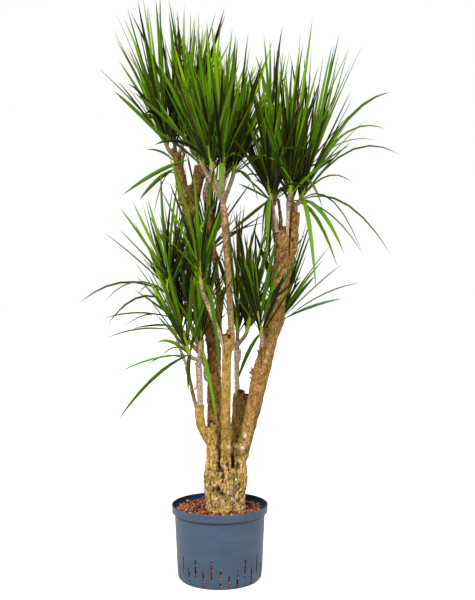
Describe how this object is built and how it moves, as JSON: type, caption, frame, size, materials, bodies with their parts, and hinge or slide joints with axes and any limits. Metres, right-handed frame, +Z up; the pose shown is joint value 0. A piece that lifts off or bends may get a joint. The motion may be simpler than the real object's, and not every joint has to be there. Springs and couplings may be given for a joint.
{
  "type": "hydroponic dracaena",
  "caption": "Branched dracaena with upright canes, cut stumps and heads of long narrow leaves, in a slotted hydroculture pot filled with clay granules.",
  "frame": {"origin": "centre of the flat underside of the pot", "axes": "+Z up along the pot's axis and the plant's height; the front, as pictured, faces -Y; +X to the right"},
  "size_m": [0.846, 0.7508, 1.4989],
  "materials": {
    "pot": "slate-blue moulded polypropylene, matte",
    "granules": "unglazed fired clay pebbles, red-brown",
    "bark_base": "knobbly olive-tan bark with pale patches",
    "bark_tan": "tan bark with dark spots",
    "bark_warm": "orange-tan bark with lengthwise fissures",
    "bark_dark": "dark brown rough bark",
    "bark_pale": "grey-tan bark with close leaf scars",
    "leaf": "glossy green blade with a narrow maroon edge"
  },
  "bodies": {
    "root": {"pot": "pot", "granules": "granules", "trunk": "bark_base", "cane_left_stump": "bark_tan", "cane_front": "bark_tan", "bough_left_low": "bark_tan", "cane_right": "bark_warm", "stub_right_side": "bark_warm", "shoot_right_behind": "bark_warm", "arm_right_outer": "bark_warm", "cane_back_left": "bark_dark", "cane_back_stump": "bark_dark", "shoot_far_left_low": "bark_dark", "bough_back_high": "bark_dark", "stub_back": "bark_dark", "shoot_dark": "bark_dark", "shoot_back": "bark_dark", "fork_back_left": "bark_dark", "fork_back_right": "bark_dark", "stub_right_top": "bark_dark", "bough_left_high": "bark_pale", "shoot_far_left_high": "bark_pale", "stub_left_side": "bark_pale", "bough_front_high": "bark_pale", "shoot_front_left": "bark_pale", "shoot_back_stump": "bark_pale", "shoot_right_inner": "bark_pale", "shoot_right_middle": "bark_pale", "arm_right_left": "bark_pale", "leaves_top_left": "leaf", "leaves_top_back": "leaf", "leaves_top_front": "leaf", "leaves_top_right": "leaf", "leaves_right_left": "leaf", "leaves_right_middle": "leaf", "leaves_right": "leaf", "leaves_front_shoot": "leaf", "leaves_far_left": "leaf", "leaves_left": "leaf", "leaves_left_inner": "leaf", "leaves_back": "leaf", "leaves_middle": "leaf", "leaves_right_inner": "leaf", "leaves_right_behind": "leaf"}
  },
  "joints": []
}
